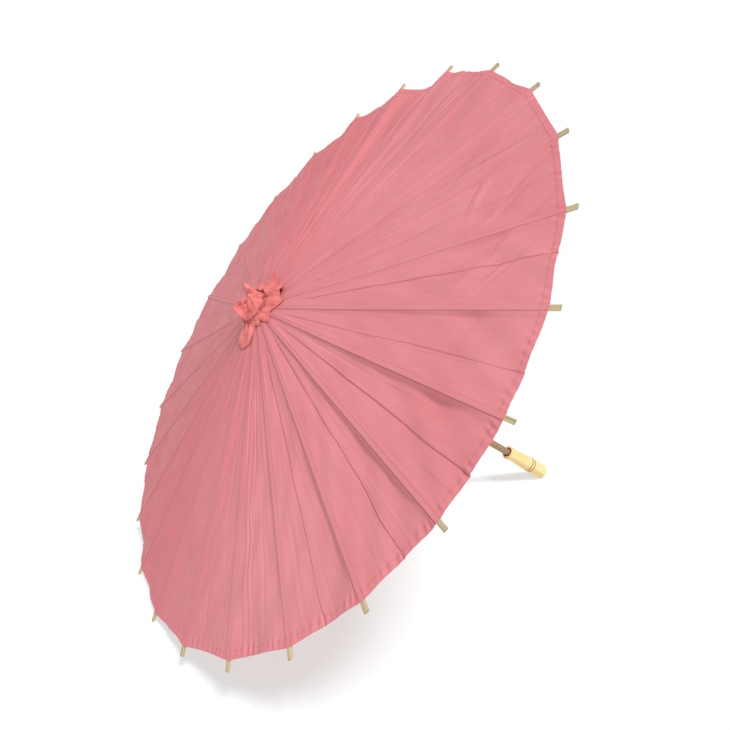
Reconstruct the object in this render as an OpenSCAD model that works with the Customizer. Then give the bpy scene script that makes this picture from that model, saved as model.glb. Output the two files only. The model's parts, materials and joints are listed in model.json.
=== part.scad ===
// Paper parasol with twenty-four bamboo ribs, open and lying on its side:
// it stands on two neighbouring rib ends and on the rounded end of its handle.
// The parts are drawn about the shaft, with the hinge ring of the ribs at height 0,
// and at_rest() then tips the whole parasol onto the ground.

/* [Ribs] */
// Distance from the shaft's axis to the canopy's corners when open
canopy_r = 395; // [340:5:450]
// Angle between the shaft and an open rib
open_angle = 79; // [74:0.5:82]
// How far each rib end stands out past the canopy
rib_stub = 13.5; // [6:0.5:20]
// Width of a rib towards its outer end
rib_w = 5; // [4:0.1:5.2]
// Width of a rib where it comes out of the hub's neck
rib_root_w = 3.2; // [2.6:0.1:3.4]
// Thickness of a rib
rib_t = 3; // [2.4:0.1:3.4]

/* [Struts] */
// Length of a strut, and distance from a rib's hinge to its strut joint
strut_len = 160; // [140:5:180]
// Width of a strut
strut_w = 3.2; // [2.6:0.1:3.4]
// Thickness of a strut
strut_t = 2.8; // [2.2:0.1:3]

/* [Hub and runner] */
// Radius of the circle on which ribs and struts hinge
hinge_r = 14; // [14:0.5:17]
// Radius of the notched hub and of the runner's notched head
hub_r = 18; // [18:0.5:21]
// Width of the notches
notch_w = 2; // [1.9:0.05:2.1]
// Width of the rib and strut ends that work in the notches
neck_w = 1.8; // [1.5:0.05:1.8]
// Length of the sleeve below the runner's head
sleeve_len = 26; // [16:1:34]
// Radius of that sleeve
sleeve_r = 11; // [9.5:0.5:12]

/* [Shaft and handle] */
// Diameter of the bamboo shaft
shaft_d = 10.8; // [10:0.2:11]
// Distance from the hinge ring down to the front of the handle
handle_drop = 488; // [470:1:520]
// Length of the handle
handle_len = 93; // [80:1:110]
// Diameter of the handle
handle_d = 24; // [22:0.5:28]
// Height of the shaft's upper end above the hinge ring
shaft_top = 12; // [11:0.5:14]

/* [Canopy and cap] */
// Thickness of the canopy sheet
sheet_t = 0.6; // [0.4:0.1:1.2]
// Free space between the ribs and the canopy sheet
sheet_gap = 0.6; // [0.4:0.1:1]
// Depth of the hollow of each canopy panel at the rim
panel_sag = 3; // [0:0.5:6]
// How far the rim of each panel is drawn in at its middle
rim_bow = 4; // [0:0.5:8]
// Radius of the flared skirt of the head cap
cap_r = 42; // [34:1:50]

/* [Hidden] */
RIBS = 24;
$fn = 48;

// Fits: gap of a fixed peg, of a hinge pin, of a wire ring and of the runner on the shaft
fixed_gap = 0.02;
pin_gap = 0.06;
wire_gap = 0.08;
slide_gap = 0.1;

// Ribs and struts
pitch = 360 / RIBS;
rib_reach = (canopy_r - hinge_r) / sin(open_angle);
rib_len = rib_reach + rib_stub;
joint_r = hinge_r + strut_len * sin(open_angle);
joint_z = -strut_len * cos(open_angle);
runner_z = 2 * joint_z;
neck_len = 12;
joint_neck = 23;
pin_r = 0.5;
slot_w = 2.2;
slot_in = 9.5;
slot_out = 23.5;

// Hub and runner, measured from their own hinge rings
notch_floor_r = 11;
notch_depth = 3;
hub_top = 10;
hub_low = 8;
groove_r = 13.2;
groove_h = 1.3;
runner_bottom = runner_z - hub_low - sleeve_len;

// Shaft, handle and pegs
shaft_r = shaft_d / 2;
shaft_foot = handle_drop + 56;
handle_r = handle_d / 2;
handle_end_z = -handle_drop - handle_len;
end_round = 8;
end_flat_r = handle_r - end_round;
peg_r = 1.1;
hub_peg_z = 6.5;
stop_peg_z = runner_z + hub_low + 0.5 + peg_r;
handle_peg_z = -handle_drop - 30;
collar_r = handle_r - 0.8;
collar_round = 3.25;
grip_neck_r = handle_r - 2.4;
grip_neck_len = 9;
swell_len = 60;
ring_drop = [52, 57.5];
function grip_radius(drop) =
  handle_r - (handle_r - grip_neck_r) * max(0, swell_len - drop) / (swell_len - grip_neck_len);
peg_seat_r = grip_radius(30) - 0.5;

// Spring catch under the runner
catch_top = runner_bottom - 0.6;
catch_len = 33;
catch_pivot = [2.6, catch_top - catch_len];
catch_t = 1.4;
catch_out = shaft_r + 3.2;

// The ground: it touches the worn lower corners of two rib ends, and the round of the handle's end
lean_half = pitch / 2;
foot_wear = 0.9;
function on_rib(s, side) = [
  hinge_r + s * sin(open_angle) + side * cos(open_angle) * rib_t / 2,
  -s * cos(open_angle) + side * sin(open_angle) * rib_t / 2
];
function toward_ground(c, y) = [-c[0] * cos(lean_half) - y * sin(lean_half), c[1]];
foot_low = toward_ground(on_rib(rib_len - foot_wear, -1), 0);
foot_high = toward_ground(on_rib(rib_len, 1), rib_w / 2);
round_near = [-end_flat_r, handle_end_z + end_round];
round_far = [end_flat_r, handle_end_z + end_round];
foot_to_round = round_near - foot_low;
ground_angle = atan2(foot_to_round[1], foot_to_round[0]) - asin(end_round / norm(foot_to_round));
function along(p) = p[0] * cos(ground_angle) + p[1] * sin(ground_angle);
function above(p) = -p[0] * sin(ground_angle) + p[1] * cos(ground_angle);
middle_x = (along(foot_high) + along(round_far) + end_round) / 2;
lift = -above(foot_low);

module at_rest() {
  translate([-middle_x, 0, lift])
    rotate([0, ground_angle, 0])
      children();
}

function azimuth(k) = (k - 0.5) * pitch;

module cross_pin(r, length) {
  rotate([90, 0, 0])
    cylinder(r = r, h = length, center = true, $fn = 24);
}

// A rib along +X from its hinge: thin neck, widening bar, square outer end
module rib_bar() {
  difference() {
    union() {
      linear_extrude(rib_t, center = true)
        polygon([
          [0, -neck_w / 2], [neck_len, -neck_w / 2],
          [neck_len + 8, -rib_root_w / 2], [60, -2.1], [strut_len, -rib_w / 2],
          [rib_len, -rib_w / 2], [rib_len, rib_w / 2],
          [strut_len, rib_w / 2], [60, 2.1], [neck_len + 8, rib_root_w / 2],
          [neck_len, neck_w / 2], [0, neck_w / 2]
        ]);
      cross_pin(rib_t / 2, neck_w);
    }
    cross_pin(pin_r + wire_gap, neck_w + 1);
    translate([strut_len - slot_in, -slot_w / 2, -rib_t])
      cube([slot_in + slot_out, slot_w, 2 * rib_t]);
    translate([strut_len, 0, 0])
      cross_pin(pin_r + fixed_gap, rib_w + 1);
  }
  translate([strut_len, 0, 0])
    cross_pin(pin_r, rib_w - 0.2);
}

// What the ground wears off an outer end, on either side of the lowest line
module ground_wear() {
  for (side = [-1, 1])
    rotate([0, 0, -180 - side * lean_half])
      rotate([0, -ground_angle, 0])
        translate([middle_x - canopy_r, -canopy_r / 4, -lift - 20])
          cube([canopy_r, canopy_r / 2, 20]);
}

module rib(k) {
  color("burlywood")
    at_rest()
      rotate([0, 0, azimuth(k)])
        difference() {
          translate([hinge_r, 0, 0])
            rotate([0, 90 - open_angle, 0])
              rib_bar();
          ground_wear();
        }
}

// A strut along +X from its joint on the rib to its hinge in the runner
module strut_bar() {
  difference() {
    union() {
      linear_extrude(strut_t, center = true)
        polygon([
          [0, -neck_w / 2], [joint_neck, -neck_w / 2], [joint_neck + 6, -strut_w / 2],
          [strut_len - neck_len - 6, -strut_w / 2], [strut_len - neck_len, -neck_w / 2],
          [strut_len, -neck_w / 2], [strut_len, neck_w / 2],
          [strut_len - neck_len, neck_w / 2], [strut_len - neck_len - 6, strut_w / 2],
          [joint_neck + 6, strut_w / 2], [joint_neck, neck_w / 2], [0, neck_w / 2]
        ]);
      cross_pin(strut_t / 2, neck_w);
      translate([strut_len, 0, 0])
        cross_pin(strut_t / 2, neck_w);
    }
    cross_pin(pin_r + pin_gap, neck_w + 1);
    translate([strut_len, 0, 0])
      cross_pin(pin_r + wire_gap, neck_w + 1);
  }
}

module strut(k) {
  color("tan")
    at_rest()
      rotate([0, 0, azimuth(k)])
        translate([joint_r, 0, joint_z])
          rotate([0, 90 + open_angle, 0])
            strut_bar();
}

// Notches for the necks, open towards -Z, and the groove that takes the wire ring
module notches_and_groove() {
  for (k = [1:RIBS])
    rotate([0, 0, azimuth(k)])
      translate([notch_floor_r, -notch_w / 2, -hub_low - 1])
        cube([hub_r, notch_w, hub_low + 1 + notch_depth]);
  rotate_extrude($fn = 96)
    translate([groove_r, -groove_h / 2])
      square([hub_r, groove_h]);
}

module top_hub() {
  color("sienna")
    at_rest()
      difference() {
        rotate_extrude($fn = 96)
          polygon([
            [shaft_r + fixed_gap, -hub_low], [hub_r - 1, -hub_low], [hub_r, -hub_low + 1],
            [hub_r, notch_depth + 2], [hub_r - 3, hub_top - 1], [hub_r - 5, hub_top],
            [shaft_r + fixed_gap, hub_top]
          ]);
        notches_and_groove();
        translate([0, 0, hub_peg_z])
          cross_pin(peg_r + fixed_gap, 2 * hub_r + 2);
      }
}

module wire_ring(z) {
  translate([0, 0, z])
    rotate_extrude($fn = 96)
      translate([hinge_r, 0])
        circle(r = pin_r, $fn = 24);
}

module hub_wire() {
  color("gray")
    at_rest()
      wire_ring(0);
}

module runner_wire() {
  color("gray")
    at_rest()
      wire_ring(runner_z);
}

module runner() {
  color("sienna")
    at_rest()
      translate([0, 0, runner_z])
        difference() {
          rotate_extrude($fn = 96)
            polygon([
              [shaft_r + slide_gap, hub_low], [hub_r - 1, hub_low], [hub_r, hub_low - 1],
              [hub_r, -notch_depth - 2], [hub_r - 3, -hub_low], [sleeve_r, -hub_low - 3],
              [sleeve_r, -hub_low - sleeve_len + 2], [sleeve_r - 1.5, -hub_low - sleeve_len],
              [shaft_r + slide_gap, -hub_low - sleeve_len]
            ]);
          mirror([0, 0, 1])
            notches_and_groove();
        }
}

module shaft() {
  color("peru")
    at_rest()
      difference() {
        translate([0, 0, -shaft_foot])
          cylinder(r = shaft_r, h = shaft_foot + shaft_top, $fn = 64);
        translate([0, 0, hub_peg_z])
          cross_pin(peg_r + fixed_gap, shaft_d + 2);
        translate([0, 0, stop_peg_z])
          cross_pin(peg_r + fixed_gap, shaft_d + 2);
        translate([-shaft_d, 0, handle_peg_z])
          rotate([0, 90, 0])
            cylinder(r = peg_r + fixed_gap, h = shaft_d - 2, $fn = 24);
        translate([-2.4, -catch_t / 2 - 0.2, catch_pivot[1] - 3])
          cube([shaft_d, catch_t + 0.4, catch_len + 4.5]);
        translate([catch_pivot[0], 0, catch_pivot[1]])
          cross_pin(pin_r + fixed_gap, shaft_d);
      }
}

// Pegs: through the hub, across the shaft above the runner, and up into the handle
module shaft_pegs() {
  color("tan")
    at_rest() {
      translate([0, 0, hub_peg_z])
        cross_pin(peg_r, 2 * hub_r - 1);
      translate([0, 0, stop_peg_z])
        cross_pin(peg_r, 18);
      translate([-peg_seat_r + 0.1, 0, handle_peg_z])
        rotate([0, 90, 0])
          cylinder(r = peg_r, h = peg_seat_r - 2.5, $fn = 24);
    }
}

module latch_catch() {
  color("goldenrod")
    at_rest()
      difference() {
        rotate([90, 0, 0])
          linear_extrude(catch_t, center = true)
            union() {
              translate(catch_pivot)
                circle(r = 1.6, $fn = 24);
              polygon([
                [catch_pivot[0] - 1.4, catch_pivot[1]], [catch_pivot[0] + 1.5, catch_pivot[1]],
                [shaft_r - 0.4, catch_pivot[1] + 6], [catch_out, catch_top - 1.5],
                [catch_out, catch_top], [catch_out - 4.8, catch_top]
              ]);
            }
        translate([catch_pivot[0], 0, catch_pivot[1]])
          cross_pin(pin_r + pin_gap, catch_t + 1);
      }
}

module latch_pin() {
  color("gray")
    at_rest()
      translate([catch_pivot[0], 0, catch_pivot[1]])
        cross_pin(pin_r, 2 * sqrt(shaft_r * shaft_r - catch_pivot[0] * catch_pivot[0]) - 0.4);
}

// Turned handle: funnel and collar at the front, swelling grip with two burnt rings, rounded end
function arc(c, r, from, to, steps) = [
  for (i = [0:steps])
    let (a = from + (to - from) * i / steps)
      [c[0] + r * cos(a), c[1] + r * sin(a)]
];
ring_cut_r = 0.6;
handle_outline = concat(
  [
    [shaft_r + fixed_gap, -handle_drop - 4], [shaft_r + 1.2, -handle_drop - 4],
    [shaft_r + 2.3, -handle_drop - 0.1]
  ],
  arc(
    [collar_r - collar_round, -handle_drop - collar_round], collar_round,
    90, -acos((grip_neck_r - collar_r + collar_round) / collar_round), 14
  ),
  [[grip_neck_r, -handle_drop - grip_neck_len]],
  [
    for (drop = ring_drop)
      each arc([grip_radius(drop), -handle_drop - drop], ring_cut_r, 90, 270, 8)
  ],
  [[handle_r, -handle_drop - swell_len]],
  arc([end_flat_r, handle_end_z + end_round], end_round, 0, -90, 14),
  [
    [0, handle_end_z], [0, -shaft_foot - 1],
    [shaft_r + fixed_gap, -shaft_foot - 1]
  ]
);

module handle() {
  color("khaki")
    at_rest()
      difference() {
        rotate_extrude($fn = 96)
          polygon(handle_outline);
        translate([-peg_seat_r, 0, handle_peg_z])
          rotate([0, 90, 0])
            cylinder(r = peg_r + fixed_gap, h = peg_seat_r - 1.5, $fn = 24);
      }
}

// Canopy sheet: a ring of points over each rib, and one in the middle of each panel
stations = 7;
inner_s = 6.5;
function station(i) = inner_s + (rib_reach - inner_s) * i / (stations - 1);
function over_rib(a, s, lift) =
  let (
    r = hinge_r + s * sin(open_angle) + lift * cos(open_angle),
    z = -s * cos(open_angle) + lift * sin(open_angle)
  )
  [r * cos(a), r * sin(a), z];
function over_panel(a, s, lift) =
  let (
    f = s / rib_reach,
    p = over_rib(0, s - rim_bow * f * f, lift - panel_sag * f),
    r = p[0] * cos(pitch / 2)
  )
  [r * cos(a), r * sin(a), p[2]];
function sheet_ring(s, lift) = [
  for (j = [0:2 * RIBS - 1])
    let (a = (j + 1) * pitch / 2)
    j % 2 == 0 ? over_rib(a, s, lift) : over_panel(a, s, lift)
];
under = rib_t / 2 + sheet_gap;
sheet_rings = concat(
  [for (i = [0:stations - 1]) sheet_ring(station(i), under)],
  [for (i = [stations - 1:-1:0]) sheet_ring(station(i), under + sheet_t)]
);

module canopy() {
  n = 2 * RIBS;
  m = 2 * stations;
  color("lightcoral")
    at_rest()
      polyhedron(
        points = [for (ring = sheet_rings) each ring],
        faces = [
          for (i = [0:m - 1])
            for (j = [0:n - 1])
              let (a = i * n + j, b = i * n + (j + 1) % n)
              let (c = ((i + 1) % m) * n + (j + 1) % n, d = ((i + 1) % m) * n + j)
              each [[a, b, c], [a, c, d]]
        ]
      );
}

// Head cap: crown over the hub, drawn in by a cord, with a skirt flared over the canopy
cap_t = 1;
cap_clear = 0.5;
function sheet_top(r) = -(r - hinge_r) / tan(open_angle) + (under + sheet_t) / sin(open_angle);
crown_z = max(shaft_top, hub_top + 1) + 0.5;
neck_r = hub_r + 0.7;
neck_z = 5.2;
cap_cord_r = 0.9;
cap_outside = [
  [0, crown_z + cap_t], [shaft_r + 2.4, crown_z + cap_t],
  [hub_r - 3.4, hub_top + 1.7], [hub_r - 1.4, hub_top + 0.4],
  [neck_r + cap_t, neck_z + 0.9], [neck_r + cap_t - 0.1, neck_z - 0.6],
  [hub_r + 4, sheet_top(hub_r + 4) + cap_clear + cap_t + 0.3],
  [cap_r, sheet_top(cap_r) + cap_clear + cap_t]
];
cap_inside = [
  [cap_r, sheet_top(cap_r) + cap_clear],
  [hub_r + 3, sheet_top(hub_r + 3) + cap_clear + 0.2],
  [neck_r, neck_z - 1], [neck_r, neck_z + 0.4],
  [hub_r - 2.3, hub_top - 0.2], [hub_r - 4.2, hub_top + 0.7],
  [shaft_r + 1.8, crown_z], [0, crown_z]
];

module head_cap() {
  color("tomato")
    at_rest()
      rotate_extrude($fn = 96)
        polygon(concat(cap_outside, cap_inside));
}

module cap_cord() {
  color("indianred")
    at_rest()
      translate([0, 0, neck_z])
        rotate_extrude($fn = 72)
          translate([neck_r + cap_t + cap_cord_r + 0.1, 0])
            circle(r = cap_cord_r, $fn = 24);
}

shaft();
handle();
top_hub();
hub_wire();
runner();
runner_wire();
shaft_pegs();
latch_catch();
latch_pin();
canopy();
head_cap();
cap_cord();
for (k = [1:RIBS]) {
  two_digits = str(k < 10 ? "0" : "", k);
  rib(k);
  strut(k);
}
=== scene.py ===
import json
import math

import bmesh
import bpy
import numpy as np
from mathutils import Matrix, Vector


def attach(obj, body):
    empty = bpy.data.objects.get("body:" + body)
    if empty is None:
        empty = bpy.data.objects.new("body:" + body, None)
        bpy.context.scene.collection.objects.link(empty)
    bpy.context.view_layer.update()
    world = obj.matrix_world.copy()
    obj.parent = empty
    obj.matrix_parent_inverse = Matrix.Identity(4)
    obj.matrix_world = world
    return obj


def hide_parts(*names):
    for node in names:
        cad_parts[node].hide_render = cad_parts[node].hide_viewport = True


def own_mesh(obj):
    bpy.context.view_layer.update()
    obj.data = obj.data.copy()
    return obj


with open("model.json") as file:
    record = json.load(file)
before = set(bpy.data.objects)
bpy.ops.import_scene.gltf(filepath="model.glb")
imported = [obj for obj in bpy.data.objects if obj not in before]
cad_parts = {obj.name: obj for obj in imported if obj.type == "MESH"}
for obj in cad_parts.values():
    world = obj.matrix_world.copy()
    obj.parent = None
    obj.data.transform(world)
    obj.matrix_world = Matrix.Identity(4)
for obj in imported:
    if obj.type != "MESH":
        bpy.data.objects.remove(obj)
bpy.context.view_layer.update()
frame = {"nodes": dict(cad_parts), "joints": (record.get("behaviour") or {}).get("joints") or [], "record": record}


# ---------------------------------------------------------------- the parasol's own directions

RIBS = 24
# How far a rib stands out past the cloth.
STUB = 0.0112
JOINTS = {j["name"]: j for j in frame["joints"]}
MOUNTS = {m["name"]: m for m in frame["record"]["mounts"]}


def unit(v):
    return v / np.linalg.norm(v)


def rib_no(n):
    return (n - 1) % RIBS + 1


# UP runs from the handle's end to the hub. A rib's directions are ALONG it, RADIAL from the hub,
# TANGENT round the axis, and NORMAL off its outer face. The struts' joints on the ribs fix ALONG.
UP = unit(-np.array(MOUNTS["handle_end"]["axis"], float))
HANDLE_END = np.array(MOUNTS["handle_end"]["pos_m"], float)
HINGE, ALONG, RADIAL, TANGENT, NORMAL = {}, {}, {}, {}, {}
for n in range(1, RIBS + 1):
    name = "fold" if n == 1 else "rib_%02d_hinge" % n
    HINGE[n] = np.array(JOINTS[name]["pos_m"], float)
HUB = sum(HINGE.values()) / RIBS
for n in range(1, RIBS + 1):
    elbow = np.array(JOINTS["strut_%02d_joint" % n]["pos_m"], float)
    ALONG[n] = unit(elbow - HINGE[n])
    RADIAL[n] = unit(HINGE[n] - HUB)
    TANGENT[n] = np.cross(UP, RADIAL[n])
    NORMAL[n] = np.cross(ALONG[n], TANGENT[n])
HINGE_R = float(np.linalg.norm(HINGE[1] - HUB))
X_AXIS = unit(RADIAL[24] + RADIAL[1])
Y_AXIS = np.cross(UP, X_AXIS)


def vertices(obj):
    co = np.zeros(len(obj.data.vertices) * 3, np.float32)
    obj.data.vertices.foreach_get("co", co)
    return co.reshape(-1, 3).astype(float)


RIB_LEN = float(((vertices(frame["nodes"]["rib_01"]) - HINGE[1]) @ ALONG[1]).max())
RIM = RIB_LEN - STUB


def azimuth_vector(a):
    return math.cos(a) * X_AXIS + math.sin(a) * Y_AXIS


# ---------------------------------------------------------------- camera

# Yaw turns from +X, pitch is downward, and roll is clockwise, in degrees. The lens is in mm.
CAMERA_AT = Vector((-0.376, -0.849, 0.632))
YAW, PITCH, ROLL = (math.radians(x) for x in (65.71, 21.66, 2.37))
LENS, SENSOR = 36.2, 36
CLIP_START, CLIP_END = 0.01, 50

forward = Vector((
    math.cos(PITCH) * math.cos(YAW), math.cos(PITCH) * math.sin(YAW), -math.sin(PITCH)
))
right = Vector((math.sin(YAW), -math.cos(YAW), 0))
down = forward.cross(right)
image_right = math.cos(ROLL) * right + math.sin(ROLL) * down
image_down = -math.sin(ROLL) * right + math.cos(ROLL) * down
camera = bpy.data.objects.new("camera", bpy.data.cameras.new("camera"))
turn = Matrix((image_right, -image_down, -forward)).transposed().to_4x4()
camera.matrix_world = Matrix.Translation(CAMERA_AT) @ turn
camera.data.lens = LENS
camera.data.sensor_width = SENSOR
camera.data.clip_start = CLIP_START
camera.data.clip_end = CLIP_END
bpy.context.scene.collection.objects.link(camera)
bpy.context.scene.camera = camera

# ---------------------------------------------------------------- node helpers


class Nodes:
    """A small builder of shader node trees."""

    def __init__(self, name):
        self.material = bpy.data.materials.new(name)
        self.material.use_nodes = True
        self.tree = self.material.node_tree
        self.tree.nodes.clear()
        self.out = self.tree.nodes.new("ShaderNodeOutputMaterial")
        self.shader = self.tree.nodes.new("ShaderNodeBsdfPrincipled")
        self.tree.links.new(self.shader.outputs[0], self.out.inputs[0])

    def put(self, value, socket):
        if isinstance(value, bpy.types.NodeSocket):
            self.tree.links.new(value, socket)
        elif value is not None:
            socket.default_value = value

    def math(self, op, a, b=None):
        node = self.tree.nodes.new("ShaderNodeMath")
        node.operation = op
        for value, socket in zip((a, b), node.inputs):
            self.put(value, socket)
        return node.outputs[0]

    def vector(self, op, a, b):
        node = self.tree.nodes.new("ShaderNodeVectorMath")
        node.operation = op
        self.put(a, node.inputs[0])
        self.put(b, node.inputs[1])
        return node.outputs["Value" if op == "DOT_PRODUCT" else "Vector"]

    def join(self, x, y, z):
        node = self.tree.nodes.new("ShaderNodeCombineXYZ")
        for value, socket in zip((x, y, z), node.inputs):
            self.put(value, socket)
        return node.outputs[0]

    def split(self, v):
        node = self.tree.nodes.new("ShaderNodeSeparateXYZ")
        self.put(v, node.inputs[0])
        return node.outputs

    def place(self):
        return self.tree.nodes.new("ShaderNodeTexCoord").outputs["Object"]

    def uv(self):
        return self.tree.nodes.new("ShaderNodeTexCoord").outputs["UV"]

    def noise(self, vector, scale, detail=3.0, rough=0.55, distortion=0.0):
        node = self.tree.nodes.new("ShaderNodeTexNoise")
        self.put(vector, node.inputs["Vector"])
        node.inputs["Scale"].default_value = scale
        node.inputs["Detail"].default_value = detail
        node.inputs["Roughness"].default_value = rough
        node.inputs["Distortion"].default_value = distortion
        return node.outputs[0]

    def mix(self, factor, a, b):
        node = self.tree.nodes.new("ShaderNodeMix")
        node.data_type = "RGBA"
        self.put(factor, node.inputs[0])
        for value, socket in ((a, node.inputs[6]), (b, node.inputs[7])):
            if isinstance(value, tuple) and len(value) == 3:
                value = (*value, 1)
            self.put(value, socket)
        return node.outputs[2]

    def range(self, value, lo, hi, to_lo, to_hi):
        node = self.tree.nodes.new("ShaderNodeMapRange")
        for x, socket in zip((value, lo, hi, to_lo, to_hi), node.inputs):
            self.put(x, socket)
        return node.outputs[0]

    def bump(self, height, strength, distance):
        node = self.tree.nodes.new("ShaderNodeBump")
        node.inputs["Strength"].default_value = strength
        node.inputs["Distance"].default_value = distance
        self.put(height, node.inputs["Height"])
        self.tree.links.new(node.outputs[0], self.shader.inputs["Normal"])

    def set(self, **values):
        for name, value in values.items():
            self.put(value, self.shader.inputs[name.replace("_", " ")])
        return self.material


def srgb(r, g, b):
    def channel(c):
        c /= 255
        return c / 12.92 if c <= 0.04045 else ((c + 0.055) / 1.055) ** 2.4
    return tuple(channel(c) for c in (r, g, b))


# ---------------------------------------------------------------- materials

# The thread spacing. A painted shade line in the crease beside a rib is full out to LINE_CORE
# from its middle, and gone at LINE_END.
THREAD = 0.0006
LINE_CORE, LINE_END = 0.0003, 0.0009


def cloth_material(name, light, dark, hem_at=None, neck_at=None, weave=0.35, patch=7):
    """Thin satin cloth. Its UV is in metres: u across the cloth, v outward from the hub.

    hem_at is where the hem's stitching runs, and neck_at where the cap is tied; painted shade darkens the cloth
    round it there.
    """
    m = Nodes(name)
    u, v, _ = m.split(m.uv())
    place = m.place()
    blotch = m.noise(place, patch, 3, 0.6)
    apart = m.math("MULTIPLY", m.split(place)[2], 5)
    streak = m.noise(m.join(m.math("MULTIPLY", u, 240), m.math("MULTIPLY", v, 9), apart), 1, 4, 0.6)
    slub = m.noise(m.join(m.math("MULTIPLY", u, 60), m.math("MULTIPLY", v, 1500), 0), 1, 2)
    tone = m.math("ADD", m.math("MULTIPLY", streak, 0.35), m.math("MULTIPLY", blotch, 0.65))
    tone = m.math("ADD", tone, m.math("MULTIPLY", m.math("SUBTRACT", slub, 0.5), 0.06))
    colour = m.mix(m.range(tone, 0.30, 0.70, 0.0, 1.0), dark, light)
    if hem_at is not None:
        colour = canopy_marks(m, colour, u, v, place, light, dark, hem_at)
    if neck_at is not None:
        # Painted shade: dark patches round the neck, where the cloth is gathered under the crown.
        near = m.math("ABSOLUTE", m.math("SUBTRACT", v, neck_at))
        patchy = m.range(m.noise(place, 110, 2), 0.38, 0.58, 0.30, 1.0)
        shade = m.math("MULTIPLY", m.range(near, 0.0010, 0.0080, 0.92, 0.0), patchy)
        colour = m.mix(shade, colour, tuple(c * 0.36 for c in dark))
    warp = m.math("SINE", m.math("MULTIPLY", u, 2 * math.pi / THREAD))
    weft = m.math("SINE", m.math("MULTIPLY", v, 2 * math.pi / THREAD))
    grain = m.math("MULTIPLY", m.math("ADD", warp, weft), weave)
    height = m.math("ADD", grain, m.math("MULTIPLY", streak, 1.5))
    m.bump(height, 0.10, 0.0004)
    rough = m.range(m.noise(place, 30, 3), 0.3, 0.7, 0.42, 0.54)
    return m.set(
        Base_Color=colour, Roughness=rough, Specular_IOR_Level=0.10,
    )


def canopy_marks(m, colour, u, v, place, light, dark, hem_at):
    """Painted shade on the side away from the sun, painted shade lines along the creases beside the ribs, and the
    hem.
    """
    from_hub = m.vector("SUBTRACT", place, tuple(HUB))
    # Painted shade: the side of the canopy that faces away from the sun is darkened toward a deeper coral.
    across = m.vector("DOT_PRODUCT", from_hub, tuple(azimuth_vector(math.radians(290))))
    deep = tuple(c * f for c, f in zip(dark, (0.97, 0.76, 0.77)))
    colour = m.mix(m.range(across, -0.12, 0.10, 0.75, 0.0), colour, deep)
    hem_tone = tuple(c * f for c, f in zip(light, (1.04, 0.74, 0.80)))
    colour = m.mix(m.range(v, hem_at - 0.0006, hem_at + 0.0006, 0.0, 0.26), colour, hem_tone)
    # Painted shade lines in the creases beside each rib: stronger on one side of the rib than the other, and
    # fading out toward the canopy's upper side.
    edge = m.range(v, 0.012, 0.16, 0.0013, 0.0031)
    upward = m.vector("DOT_PRODUCT", from_hub, tuple(azimuth_vector(0)))
    lower = m.range(upward, 0.0, 0.09, 1.0, 0.15)
    for side, strength in ((-1, 0.85), (1, 0.45)):
        off = m.math("ABSOLUTE", m.math("SUBTRACT", m.math("MULTIPLY", u, side), edge))
        line = m.math("MULTIPLY", m.range(off, LINE_CORE, LINE_END, strength, 0.0), lower)
        colour = m.mix(line, colour, tuple(c * 0.55 for c in dark))
    off_stitch = m.math("ABSOLUTE", m.math("SUBTRACT", v, hem_at))
    stitch = m.range(off_stitch, 0.0, 0.0008, 0.30, 0.0)
    return m.mix(stitch, colour, tuple(c * 0.70 for c in dark))


def grain_coordinates(m, origin, along, across):
    """Position along and across a stick, from the object's own coordinates."""
    place = m.vector("SUBTRACT", m.place(), tuple(origin))
    s = m.vector("DOT_PRODUCT", place, tuple(along))
    t = m.vector("DOT_PRODUCT", place, tuple(across))
    w = m.vector("DOT_PRODUCT", place, tuple(np.cross(along, across)))
    return s, t, w


def bamboo_material(name, origin, along, across, light, dark, stain, stain_amount, cut_at=None):
    m = Nodes(name)
    s, t, w = grain_coordinates(m, origin, along, across)
    fibre_place = m.join(
        m.math("MULTIPLY", s, 22), m.math("MULTIPLY", t, 1700), m.math("MULTIPLY", w, 1700)
    )
    fibre = m.noise(fibre_place, 1, 3, 0.6)
    streak = m.noise(
        m.join(m.math("MULTIPLY", s, 9), m.math("MULTIPLY", t, 420), m.math("MULTIPLY", w, 420)),
        1, 2,
    )
    patch = m.noise(m.join(m.math("MULTIPLY", s, 60), m.math("MULTIPLY", t, 160), w), 1, 3)
    colour = m.mix(m.range(fibre, 0.3, 0.7, 0, 1), dark, light)
    colour = m.mix(m.range(streak, 0.52, 0.68, 0, stain_amount), colour, stain)
    colour = m.mix(m.range(patch, 0.58, 0.75, 0, stain_amount * 0.7), colour, stain)
    if cut_at is not None:
        end = m.range(s, cut_at - 0.0006, cut_at - 0.0001, 0, 0.55)
        colour = m.mix(end, colour, tuple(c * 0.45 for c in dark))
    m.bump(m.math("ADD", fibre, m.math("MULTIPLY", streak, 0.5)), 0.35, 0.0003)
    rough = m.range(fibre, 0.3, 0.7, 0.62, 0.46)
    return m.set(Base_Color=colour, Roughness=rough, Specular_IOR_Level=0.4)


def metal_material(name, colour, rough):
    m = Nodes(name)
    place = m.place()
    smudge = m.noise(place, 300, 4)
    tone = m.mix(m.range(smudge, 0.3, 0.7, 0, 1), colour, tuple(c * 0.72 for c in colour))
    m.bump(m.noise(place, 2500, 2), 0.12, 0.0001)
    return m.set(
        Base_Color=tone, Metallic=1.0, Roughness=m.range(smudge, 0.3, 0.7, rough - 0.06, rough + 0.1)
    )


# How far the two burnt rings are from the handle's upper end. Painted shade darkens the wall of the hole there
# inside HOLE_INNER from the axis, starting HOLE_FROM above the handle's lower end.
RING_DROPS = (0.052, 0.0575)
HOLE_INNER, HOLE_OUTER = 0.0074, 0.0080
HOLE_FROM = 0.080


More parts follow.
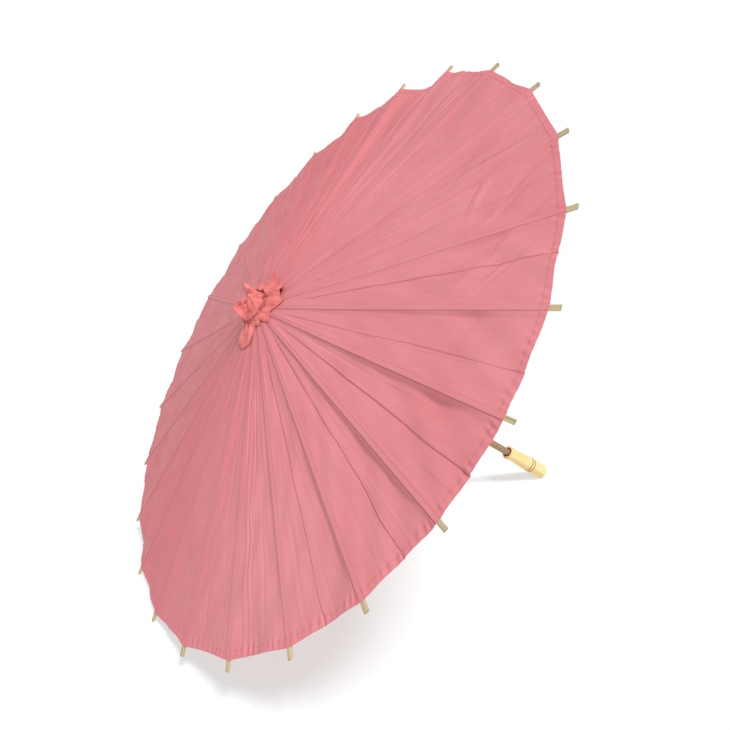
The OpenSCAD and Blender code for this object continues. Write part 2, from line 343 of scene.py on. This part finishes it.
def handle_material():
    """Pale turned wood with fine rings of tool marks, burnt grooves and painted shade in its hole."""
    m = Nodes("handle_wood")
    s, t, w = grain_coordinates(m, HANDLE_END, UP, Y_AXIS)
    around = m.math("SQRT", m.math("ADD", m.math("MULTIPLY", t, t), m.math("MULTIPLY", w, w)))
    wood_place = m.join(
        m.math("MULTIPLY", s, 14), m.math("MULTIPLY", t, 300), m.math("MULTIPLY", w, 300)
    )
    fibre = m.noise(wood_place, 1, 4, 0.6, 0.4)
    rings = m.noise(
        m.join(m.math("MULTIPLY", s, 5), m.math("MULTIPLY", t, 75), m.math("MULTIPLY", w, 75)),
        1, 2, 0.5, 1.2,
    )
    colour = m.mix(m.range(rings, 0.3, 0.7, 0, 1), srgb(226, 192, 116), srgb(241, 218, 157))
    colour = m.mix(m.range(fibre, 0.50, 0.72, 0, 0.45), colour, srgb(205, 160, 90))
    length = float(((vertices(frame["nodes"]["handle"]) - HANDLE_END) @ UP).max())
    for drop in RING_DROPS:
        gap = m.math("ABSOLUTE", m.math("SUBTRACT", s, length - drop))
        soot = m.range(gap, 0.0003, 0.0016, 0.9, 0)
        colour = m.mix(soot, colour, srgb(112, 70, 30))
    # Painted shade on the wall of the hole at the handle's upper end.
    inside = m.math(
        "MULTIPLY", m.range(around, HOLE_INNER, HOLE_OUTER, 1, 0),
        m.range(s, HOLE_FROM, HOLE_FROM + 0.005, 0, 1),
    )
    colour = m.mix(m.math("MULTIPLY", inside, 0.85), colour, srgb(84, 52, 26))
    turned = m.math("SINE", m.math("MULTIPLY", s, 2 * math.pi / 0.0007))
    m.bump(m.math("ADD", m.math("MULTIPLY", turned, 0.15), fibre), 0.16, 0.0003)
    return m.set(
        Base_Color=colour, Roughness=m.range(fibre, 0.3, 0.7, 0.30, 0.42),
        Coat_Weight=0.25, Coat_Roughness=0.2,
    )


def turned_wood_material(name, light, dark):
    m = Nodes(name)
    s, t, w = grain_coordinates(m, HUB, UP, Y_AXIS)
    fibre = m.noise(
        m.join(m.math("MULTIPLY", s, 60), m.math("MULTIPLY", t, 700), m.math("MULTIPLY", w, 700)),
        1, 4,
    )
    colour = m.mix(m.range(fibre, 0.32, 0.7, 0, 1), light, dark)
    m.bump(fibre, 0.3, 0.0003)
    return m.set(Base_Color=colour, Roughness=m.range(fibre, 0.3, 0.7, 0.5, 0.65))


# The hem's width, from the rim to its stitching.
HEM = 0.0080
CORAL = srgb(222, 142, 147)
CORAL_DARK = srgb(212, 127, 132)
canopy_cloth = cloth_material("canopy_cloth", CORAL, CORAL_DARK, hem_at=RIM - HEM)
# The cap's cloth gets painted shade round its neck.
cap_cloth = cloth_material(
    "cap_cloth", srgb(232, 144, 137), srgb(206, 94, 94), neck_at=0.0285, weave=0.3, patch=90
)

RIB_LIGHT, RIB_DARK, RIB_STAIN = srgb(210, 194, 156), srgb(176, 154, 114), srgb(122, 112, 96)
# The grain's origin moves from rib to rib, so that no two look alike.
RIB_GRAIN_STEP, STRUT_GRAIN_STEP = 0.031, 0.027
# About how far the struts' feet are below the rib hinges.
FOOT_DROP = 0.061


def dress(node, material):
    data = frame["nodes"][node].data
    data.materials.clear()
    data.materials.append(material)


for n in range(1, RIBS + 1):
    shift = n * RIB_GRAIN_STEP
    dress("rib_%02d" % n, bamboo_material(
        "rib_bamboo_%02d" % n, HINGE[n] + shift * UP, ALONG[n], TANGENT[n],
        RIB_LIGHT, RIB_DARK, RIB_STAIN, 0.55, cut_at=RIB_LEN - shift * float(UP @ ALONG[n]),
    ))
    strut_foot = HINGE[n] - FOOT_DROP * UP
    strut_along = unit(np.array(JOINTS["strut_%02d_joint" % n]["pos_m"]) - strut_foot)
    dress("strut_%02d" % n, bamboo_material(
        "strut_bamboo_%02d" % n, HINGE[n] - n * STRUT_GRAIN_STEP * UP, strut_along, TANGENT[n],
        RIB_LIGHT, RIB_DARK, RIB_STAIN, 0.4,
    ))

dress("shaft", bamboo_material(
    "shaft_bamboo", HUB, UP, Y_AXIS, srgb(186, 146, 108), srgb(140, 104, 72),
    srgb(112, 104, 84), 0.75,
))
dress("handle", handle_material())
hub_wood = turned_wood_material("hub_wood", srgb(214, 184, 132), srgb(172, 134, 84))
dress("top_hub", hub_wood)
dress("runner", hub_wood)
dress("shaft_pegs", turned_wood_material("peg_wood", srgb(206, 172, 122), srgb(150, 112, 70)))
brass = metal_material("brass", srgb(214, 178, 108), 0.32)
steel = metal_material("steel_wire", srgb(150, 146, 140), 0.38)
dress("latch_catch", brass)
for node in ("latch_pin", "hub_wire", "runner_wire"):
    dress(node, steel)
dress("cap_cord", cap_cloth)

# ---------------------------------------------------------------- canopy

HALF_PITCH = math.pi / RIBS
# The cloth's height over a rib's centreline, and where it starts under the cap.
CLEAR = 0.0020
START = 0.0098
# Mesh rows outward and columns from a rib to the long crease, with closer rows in the hem.
ROWS, SIDE = 170, 34
HEM_SHARE, HEM_ROWS = 0.034, 26
# Half a rib's width at some distances from its hinge.
RIB_STATIONS = (0, 0.012, 0.020, 0.060, 0.160)
RIB_HALF_WIDTHS = (0.0009, 0.0009, 0.0016, 0.0021, 0.0025)

# What sets single panels apart, by the number of the panel's first rib. LEE scales how deep the
# cloth falls beside its last rib, and DROOP is extra sag in metres. PLEATED and CRUMPLED scale
# the number and the height of its folds. LOPSIDED moves the sag toward its last rib.
LEE = {16: 0.7, 17: 1.0, 18: 1.05, 19: 0.6, 15: 0.5, 14: 0.4, 20: 0.5, 22: 0.4, 1: 0.3}
DROOP = {1: 0.0085, 2: 0.0045, 3: 0.0025, 16: 0.001, 17: 0.002, 18: 0.002, 19: 0.002}
PLEATED = {21: 1.2, 22: 1.7, 23: 2.0, 24: 2.0, 1: 1.8, 2: 1.3, 14: 1.3, 15: 1.6, 16: 1.2}
CRUMPLED = {17: 0.5, 18: 0.7, 19: 0.9, 20: 1.3, 21: 1.3, 22: 0.7}
LOPSIDED = {1: 0.6}

# Depths and widths of the folds, in metres.
LEE_DEPTH, LEE_BACK = 0.0060, 0.034
SAG = 0.0005
CREASE_DEPTH, CREASE_TAIL, CREASE_STEP = 0.0007, 0.0110, 0.0013
RIDGE_STEP = 0.0012
FREE_FROM, FREE_WIDTH = 0.0002, 0.0032
SWELL, RIPPLE = 0.0013, 0.00115
HEM_STEP, TUCK, TUCK_REACH = 0.00030, 0.00095, 0.0050


def smooth_step(x):
    x = np.clip(x, 0, 1)
    return x * x * (3 - 2 * x)


def rib_half_width(s):
    return np.interp(s, RIB_STATIONS, RIB_HALF_WIDTHS)


def panel_width(s):
    return 2 * (HINGE_R + s * float(ALONG[1] @ RADIAL[1])) * math.sin(HALF_PITCH)


class Panel:
    """The cloth between two ribs. Its height off the flat panel is a sum of folds.

    w is the share of the way from the first rib to the last, and s the distance from the hinge.
    """

    def __init__(self, n):
        self.first, self.last = rib_no(n), rib_no(n + 1)
        rng = np.random.default_rng(4100 + self.first)
        self.normal = unit(NORMAL[self.first] + NORMAL[self.last])
        self.lee = LEE_DEPTH * LEE.get(self.first, 0.22 + 0.15 * rng.random())
        self.sag = SAG + 0.0009 * rng.random() + DROOP.get(self.first, 0)
        self.lean = LOPSIDED.get(self.first, 0)
        self.crease_at = 0.5 + 0.09 * rng.uniform(-1, 1)
        self.crease = CREASE_DEPTH + 0.0010 * rng.random()
        self.wander_s = np.linspace(0, RIM, 9)
        self.wander = 0.016 * rng.uniform(-1, 1, 9)
        self.pleats = self.make_pleats(rng, PLEATED.get(self.first, 0.75))
        self.crumples = self.make_crumples(rng, CRUMPLED.get(self.first, 0.3))
        self.bow = 0.0004 + 0.0016 * rng.random()
        self.phases = rng.uniform(0, 6.28, 3)

    def make_pleats(self, rng, amount):
        """Each is a share of the width, a slant, a middle, a reach, a width and a height."""
        pleats = []
        for _ in range(int(10 + 7 * amount)):
            middle = rng.uniform(0.12, 0.36)
            reach = rng.uniform(0.04, 0.16)
            pleats.append((
                rng.uniform(0.06, 0.94), rng.uniform(-0.10, 0.10), middle, reach,
                rng.uniform(0.0007, 0.0017),
                amount * rng.choice([-1, 1], p=[0.62, 0.38]) * rng.uniform(0.00014, 0.00046),
            ))
        return pleats

    def make_crumples(self, rng, amount):
        """Each is a share of the width, a middle, a slope, a reach, a width and a height."""
        return [
            (
                rng.uniform(0.1, 0.9), RIM - rng.uniform(0.015, 0.10), rng.uniform(0.5, 1.1),
                rng.uniform(0.016, 0.042), rng.uniform(0.0024, 0.0050),
                amount * rng.choice([-1, 1]) * rng.uniform(0.0005, 0.0013),
            )
            for _ in range(int(2 + 4 * amount))
        ]

    def edge(self, w):
        return RIM - self.bow * 4 * w * (1 - w)

    def line(self, s):
        """Where the panel's long crease runs, as a share of its width."""
        return self.crease_at + np.interp(s, self.wander_s, self.wander)

    def crease_fall(self, w, s, wide):
        """How far the long crease dips: steep on one side, and easing out on the other."""
        x = (w - self.line(s)) * wide
        step = np.where(x < 0, np.exp(x / CREASE_TAIL), 1 - smooth_step(x / CREASE_STEP))
        return self.crease * smooth_step((s - 0.03) / 0.05) * step

    def lee_fall(self, s, wide, from_last):
        """The cloth drops off beside the last rib and comes back up farther on."""
        out = s / RIM
        edge = rib_half_width(s)
        drop = 0.0020 + 0.0062 * out
        gap = np.maximum(from_last - edge, 0)
        rise = np.clip(wide - 2 * edge - drop, 1e-4, LEE_BACK)
        back = 1 - smooth_step((gap - drop) / rise)
        tame = 1 - 0.8 * smooth_step((s - 0.315) / 0.060)
        return self.lee * tame * out ** 1.05 * smooth_step(gap / drop) * back

    def pleat_height(self, w, s, wide):
        total = 0
        for at, slant, middle, reach, width, height in self.pleats:
            off = (w - at - slant * (s - middle)) * wide
            total += height * np.exp(-(((s - middle) / reach) ** 2) - (off / width) ** 2)
        return total

    def crumple_height(self, w, s, wide):
        total = 0
        for at, middle, slope, reach, width, height in self.crumples:
            x, y = (w - at) * wide, s - middle
            along = x * math.cos(slope) + y * math.sin(slope)
            off = -x * math.sin(slope) + y * math.cos(slope)
            fold = np.where(off < 0, np.exp(off / (4 * width)), np.exp(-((off / width) ** 2)))
            total += height * np.exp(-((along / reach) ** 2)) * fold
        return total

    def wave_height(self, w, s, bell, free):
        """Low waves: broad ones in the panel's middle and shorter ones all over it."""
        a, b, c = self.phases
        out = s / RIM
        swell = np.sin(11 * out + a) * np.sin(5.2 * w + b)
        swell = swell + 0.6 * np.sin(23 * out + 7 * w + c)
        ripple = np.sin(31 * out + 4 * w + b) * np.sin(9.5 * w + 6 * out + a)
        return (SWELL * swell * bell + RIPPLE * ripple * free * np.minimum(1, 2 * bell)) * out

    def hem_height(self, w, s, wide):
        """The doubled hem's step, and the small tucks along its stitching."""
        a, b, c = self.phases
        past = s - (RIM - HEM)
        x = w * wide
        tuck = np.sin(x / 0.0015 + 0.9 * np.sin(x / 0.006 + c) + a)
        tuck = tuck * (0.6 + 0.4 * np.sin(x / 0.0071 + b))
        fade = np.exp(-(((past - 0.001) / TUCK_REACH) ** 2))
        return HEM_STEP * smooth_step((past + 0.0005) / 0.0009) + TUCK * tuck * fade

    def lift(self, w, s):
        out = s / RIM
        wide = panel_width(s)
        edge = rib_half_width(s)
        from_first, from_last = w * wide, (1 - w) * wide
        near = np.minimum(from_first, from_last)
        free = smooth_step((near - edge - FREE_FROM) / FREE_WIDTH)
        off_ribs = np.clip((from_first - edge) / np.maximum(wide - 2 * edge, 1e-4), 0, 1)
        bell = 4 * off_ribs * (1 - off_ribs)
        sag = self.sag * bell * (1 + self.lean * (off_ribs - 0.5)) * out ** 1.5
        ridge = (0.00035 + 0.00055 * out) * smooth_step((near - edge) / RIDGE_STEP)
        folds = self.pleat_height(w, s, wide) + self.crumple_height(w, s, wide)
        folds = folds + self.hem_height(w, s, wide) - self.crease_fall(w, s, wide)
        waves = self.wave_height(w, s, bell, free)
        return free * folds + waves - sag - ridge - self.lee_fall(s, wide, from_last)

    def point(self, w, s):
        w, s = np.broadcast_arrays(np.asarray(w, float), np.asarray(s, float))
        across = w[..., None]
        on_first, on_last = (
            HINGE[n] + CLEAR * NORMAL[n] + s[..., None] * ALONG[n] for n in (self.first, self.last)
        )
        flat = (1 - across) * on_first + across * on_last
        return flat + self.lift(w, s)[..., None] * self.normal

    def slope(self, w, s):
        """The surface's normal, from finite differences."""
        dw, ds = 0.002, 0.0003
        w0, w1 = np.clip(w - dw, 0, 1), np.clip(w + dw, 0, 1)
        across = self.point(w1, s) - self.point(w0, s)
        outward = self.point(w, s + ds) - self.point(w, s - ds)
        return unit_rows(np.cross(outward, across))


def unit_rows(v):
    return v / np.linalg.norm(v, axis=-1, keepdims=True)


PANELS = {n: Panel(n) for n in range(1, RIBS + 1)}


def row_stations():
    """Shares of the way out to the rim's edge, with close rows along the hem."""
    main = np.linspace(0, 1, ROWS)
    hem = 1 - np.linspace(0, HEM_SHARE, HEM_ROWS)
    return np.unique(np.round(np.concatenate([main[main < 1 - HEM_SHARE], hem]), 6))


# The turned hem's rows: how far back from the rim, and how far under the cloth. Its fold stands
# HEM_BULGE out past the rim.
HEM_BACK = (0.0, 0.0008, 0.0030, 0.0060, 0.0085)
HEM_DEPTH = (0.00025, 0.00045, 0.00045, 0.00045, 0.00040)
HEM_BULGE = 0.0002
# What the band over a rib covers past the rib's own edge.
BAND_MARGIN = 0.0003


def panel_strip(panel, w_at):
    """A strip of a panel: top rows out to the edge, then the hem folded back underneath."""
    rows = row_stations()[:, None]
    s = START + rows * (RIM - START)
    w = w_at(s)
    s = START + rows * (panel.edge(w) - START)
    top, top_normal = panel.point(w, s), panel.slope(w, s)
    back = np.array(HEM_BACK)[:, None]
    depth = np.array(HEM_DEPTH)[:, None, None]
    under_w = np.repeat(w[-1:], len(back), 0)
    under_s = s[-1:] - back
    low, low_normal = panel.point(under_w, under_s), -panel.slope(under_w, under_s)
    outward = unit(ALONG[panel.first] + ALONG[panel.last])
    low = low + depth * low_normal
    low[0] = low[0] + HEM_BULGE * outward
    low_normal[0] = outward
    all_w, all_s = np.concatenate([w, under_w]), np.concatenate([s, under_s])
    nearest = w[0, w.shape[1] // 2] > 0.5
    u = (all_w - nearest) * panel_width(all_s)
    return (
        np.concatenate([top, low]), np.concatenate([top_normal, low_normal]),
        np.stack([u, all_s], -1),
    )


def build_gore(n):
    """The cloth of rib n: a band over the rib and a half panel on each side of it."""
    before, after = PANELS[rib_no(n - 1)], PANELS[n]
    band = np.linspace(0, 1, 5)[None, :]
    x = np.linspace(0, 1, SIDE + 1)[None, :]
    x = 0.55 * x + 0.45 * (0.5 - 0.5 * np.cos(math.pi * x))
    x = 0.5 * smooth_step(x) + 0.5 * x

    def cover(s):
        return (rib_half_width(s) + BAND_MARGIN) / panel_width(s)

    over_before = panel_strip(before, lambda s: 1 - cover(s) * band[:, ::-1])
    over_after = panel_strip(after, lambda s: cover(s) * band)
    over = [np.concatenate([a, b[:, 1:]], 1) for a, b in zip(over_before, over_after)]
    middle = band.shape[1] - 1
    over[1][:, middle] = unit_rows(over_before[1][:, -1] + over_after[1][:, 0])
    left = panel_strip(
        before, lambda s: before.line(s) + (1 - x[:, ::-1]) * (1 - cover(s) - before.line(s))
    )
    right = panel_strip(after, lambda s: cover(s) + x * (after.line(s) - cover(s)))
    return [
        make_grid("canopy_%02d_%s" % (n, part), *strip)
        for part, strip in (("band", over), ("left", left), ("right", right))
    ]


def make_grid(name, grid, normal, uv):
    """A mesh of quads over a grid of points. Rows go outward and columns sideways.

    normal may be None, and the mesh then keeps its own normals.
    """
    rows, cols = grid.shape[:2]
    index = np.arange(rows * cols).reshape(rows, cols)
    a, b = index[:-1, :-1].ravel(), index[:-1, 1:].ravel()
    c, d = index[1:, 1:].ravel(), index[1:, :-1].ravel()
    quads = np.stack([a, d, c, b], 1)
    mesh = bpy.data.meshes.new(name)
    mesh.vertices.add(rows * cols)
    mesh.vertices.foreach_set("co", grid.reshape(-1).astype(np.float32))
    mesh.loops.add(quads.size)
    mesh.loops.foreach_set("vertex_index", quads.ravel().astype(np.int32))
    mesh.polygons.add(len(quads))
    mesh.polygons.foreach_set("loop_start", np.arange(0, quads.size, 4, dtype=np.int32))
    mesh.polygons.foreach_set("loop_total", np.full(len(quads), 4, np.int32))
    mesh.update(calc_edges=True)
    mesh.validate()
    mesh.shade_smooth()
    layer = mesh.uv_layers.new(name="UVMap")
    layer.data.foreach_set("uv", uv.reshape(-1, 2)[quads.ravel()].ravel().astype(np.float32))
    if normal is not None:
        mesh.normals_split_custom_set_from_vertices(normal.reshape(-1, 3).tolist())
    obj = bpy.data.objects.new(name, mesh)
    bpy.context.scene.collection.objects.link(obj)
    return obj


# A half panel's cut is a long triangle, with the turned hem added to its length.
for n in range(1, RIBS + 1):
    band, left, right = build_gore(n)
    for piece in (band, left, right):
        piece.data.materials.append(canopy_cloth)
        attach(piece, "rib_%02d" % n)
    if n == 1:
        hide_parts("canopy")
    for piece, side, others in ((left, -1, [band]), (right, 1, [])):
        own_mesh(piece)

# ---------------------------------------------------------------- head cap

SLOPE = float(-(ALONG[1] @ UP) / (ALONG[1] @ RADIAL[1]))


# Clearance of the cap's skirt over the canopy, and the thickness of its cloth.
SKIRT_CLEAR, CAP_CLOTH = 0.0010, 0.00035
# Depths of the tucks at the cord, the crown's dents and the skirt's creases.
TUCK_DEPTH, DENT, SKIRT_CREASE = 0.0008, 0.0060, 0.0030
DEEPEST_DENT, SKIRT_ARCH = 0.0022, 0.0016
# Half the width of the square that the dents or creases cross, and the UV's scale: how far down
# the crown and the skirt reach, and the radius that the angle is measured at.
DENT_SPAN, CREASE_SPAN = 0.012, 0.030
CROWN_DOWN, SKIRT_DOWN, ROUND = 0.028, 0.03, 0.020


def canopy_height(radius):
    return CLEAR - (radius - HINGE_R) * SLOPE


def crumple(rng, count, size):
    """Random straight creases: each is a line, a fold height and a width."""
    creases = [
        (rng.uniform(-1, 1, 2), rng.uniform(0, math.pi), rng.uniform(0.6, 1.0) * size,
         rng.uniform(0.25, 0.5))
        for _ in range(count)
    ]

    def height(x, y):
        h = np.zeros_like(x)
        for (cx, cy), turn, deep, width in creases:
            off = np.abs(-(x - cx) * math.sin(turn) + (y - cy) * math.cos(turn))
            h += deep * np.maximum(1 - off / width, 0)
        return h - h.mean()
    return height


# The crown's outline from its top to the cord: share of the way, radius and height in metres.
CROWN = (
    (0, 0.0003, 0.0176), (0.42, 0.0118, 0.0166), (0.56, 0.0160, 0.0150),
    (0.66, 0.0183, 0.0124), (0.84, 0.0197, 0.0080), (1, 0.0200, 0.0058),
)
# Corners of the cloth's free edge round the cord: azimuth, radius and height in millimetres.
SKIRT = (
    (0, 52, 10), (8, 34, 1), (20, 30, 1), (31, 35, 7), (44, 26, 2), (58, 34, 21), (74, 27, 11),
    (90, 31, 9), (108, 41, 21), (120, 31, 6), (132, 29, -1), (150, 28, -1), (163, 31, 0),
    (172, 37, -1), (182, 48, -3), (190, 53, -2), (201, 50, -3), (211, 48, -1), (218, 37, -3),
    (229, 27, 2), (240, 31, -1), (252, 27, 3), (266, 42, 4), (271, 36, -2), (283, 33, 0),
    (293, 40, -3), (305, 50, -1), (313, 42, -4), (324, 51, -2), (338, 41, -3), (346, 33, 2),
    (353, 35, -1),
)
CROWN_ROWS, SKIRT_ROWS, CAP_COLS = 60, 54, 360


def build_cap():
    """One cloth tied over the hub: a crumpled crown, a tied neck and a skirt of loose points."""
    rng = np.random.default_rng(77)
    angle = np.linspace(0, 2 * math.pi, CAP_COLS, endpoint=False)
    t = np.linspace(0, 1, CROWN_ROWS)
    share, outline_r, outline_z = np.array(CROWN).T
    radius = np.interp(t, share, outline_r)[:, None]
    height = np.interp(t, share, outline_z)[:, None]
    side = smooth_step((t - 0.34) / 0.4)[:, None]
    tucks = sum(
        rng.uniform(0.35, 1.0) * np.abs(np.sin(k * angle / 2 + rng.uniform(0, 6.28)))
        for k in (3, 5, 8, 13)
    )[None, :]
    r = radius + side * TUCK_DEPTH * (tucks - 1.35)
    z = np.repeat(height, CAP_COLS, 1)
    facets = crumple(rng, 10, DENT)
    bulge = facets(r * np.cos(angle) / DENT_SPAN, r * np.sin(angle) / DENT_SPAN)
    z = z + np.maximum(bulge, -DEEPEST_DENT) * (1 - smooth_step((t - 0.60) / 0.3))[:, None]
    corners = np.array(SKIRT + ((360, *SKIRT[0][1:]),), float)
    reach = np.interp(np.degrees(angle), corners[:, 0], corners[:, 1]) * 1e-3
    rise = np.interp(np.degrees(angle), corners[:, 0], corners[:, 2]) * 1e-3
    q = np.linspace(0, 1, SKIRT_ROWS + 1)[1:, None]
    skirt_r = r[-1] + q * (reach - r[-1])
    tucked = (1 - q) * TUCK_DEPTH * (np.sin(13 * angle + 1) + 0.7 * np.sin(21 * angle))
    folds = crumple(rng, 26, SKIRT_CREASE)
    ragged = folds(skirt_r * np.cos(angle) / CREASE_SPAN, skirt_r * np.sin(angle) / CREASE_SPAN)
    skirt_z = (1 - q) * z[-1] + q * rise + SKIRT_ARCH * 4 * q * (1 - q) + tucked
    skirt_z = skirt_z + ragged * smooth_step(q / 0.3)
    skirt_z = np.maximum(skirt_z, canopy_height(skirt_r) + SKIRT_CLEAR + 0.0004 * np.sin(9 * angle))
    r, z = np.concatenate([r, skirt_r]), np.concatenate([z, skirt_z])
    points = (
        HUB + (r * np.cos(angle))[..., None] * X_AXIS + (r * np.sin(angle))[..., None] * Y_AXIS
        + z[..., None] * UP
    )
    points = np.concatenate([points, points[:, :1]], 1)
    down = np.concatenate([np.linspace(0, CROWN_DOWN, CROWN_ROWS), CROWN_DOWN + SKIRT_DOWN * q[:, 0]])
    around = np.append(angle, 2 * math.pi)[None, :] * ROUND
    uv = np.stack(np.broadcast_arrays(around, down[:, None]), -1)
    cap = make_grid("cap_cloth", points, None, uv)
    weld(cap)
    thicken(cap, CAP_CLOTH)
    cap.data.materials.append(cap_cloth)
    return cap


def weld(obj):
    mesh = bmesh.new()
    mesh.from_mesh(obj.data)
    bmesh.ops.remove_doubles(mesh, verts=mesh.verts, dist=1e-6)
    bmesh.ops.recalc_face_normals(mesh, faces=mesh.faces)
    mesh.to_mesh(obj.data)
    mesh.free()
    obj.data.shade_flat()


def thicken(obj, thickness):
    solid = obj.modifiers.new("cloth", "SOLIDIFY")
    solid.thickness = thickness
    solid.offset = -1
    solid.use_rim = True


cap = build_cap()
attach(cap, "root")
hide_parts("head_cap")

# ---------------------------------------------------------------- floor, light, look

floor_mesh = bpy.data.meshes.new("floor")
FLOOR_HALF, FLOOR_DROP = 6.0, 0.0004
FLOOR_TONES = (0.40, 0.455, 0.45), (0.42, 0.475, 0.47)
FLOOR_GLOW = 0.54
floor_mesh.from_pydata(
    [(x * FLOOR_HALF, y * FLOOR_HALF, 0) for x, y in ((-1, -1), (1, -1), (1, 1), (-1, 1))],
    [], [(0, 1, 2, 3)],
)
floor = bpy.data.objects.new("floor", floor_mesh)
floor.location.z = -FLOOR_DROP
bpy.context.scene.collection.objects.link(floor)
paper = Nodes("floor_paper")
tone = paper.noise(paper.place(), 4, 2)
floor_mesh.materials.append(paper.set(
    Base_Color=paper.mix(tone, *FLOOR_TONES), Roughness=0.95,
    Specular_IOR_Level=0.1, Emission_Color=(1, 1, 1, 1), Emission_Strength=FLOOR_GLOW,
))

world = bpy.data.worlds.new("studio")
bpy.context.scene.world = world
world.use_nodes = True
sky = world.node_tree
sky_place = sky.nodes.new("ShaderNodeTexCoord")
sky_split = sky.nodes.new("ShaderNodeSeparateXYZ")
sky_range = sky.nodes.new("ShaderNodeMapRange")
sky.links.new(sky_place.outputs["Generated"], sky_split.inputs[0])
sky.links.new(sky_split.outputs[2], sky_range.inputs[0])
# The sky is white low down all round, and dims between two heights toward the top.
SKY_HEIGHTS, SKY_BRIGHTNESS = (0.14, 0.45), (1.04, 0.34)
for socket, value in zip(sky_range.inputs[1:5], SKY_HEIGHTS + SKY_BRIGHTNESS):
    socket.default_value = value
sky.nodes["Background"].inputs[0].default_value = (1, 1, 1, 1)
sky.links.new(sky_range.outputs[0], sky.nodes["Background"].inputs[1])

# A soft sun from above, leaning toward one side of the parasol.
SUN_LEAN, SUN_AZIMUTH = 0.62, math.radians(285)
SUN_STRENGTH, SUN_WIDTH = 2.75, math.radians(14)
overhead = np.array([0, 0, 1.0]) + SUN_LEAN * azimuth_vector(SUN_AZIMUTH)
key_direction = Vector(unit(overhead))
key = bpy.data.lights.new("key", "SUN")
key.energy = SUN_STRENGTH
key.angle = SUN_WIDTH
key_object = bpy.data.objects.new("key", key)
key_object.rotation_euler = key_direction.to_track_quat("Z", "Y").to_euler()
key_object.location = (0, 0, 2)
bpy.context.scene.collection.objects.link(key_object)

view = bpy.context.scene.view_settings
view.view_transform = "Standard"
view.look = "None"
view.exposure = 0.0
view.gamma = 1.0
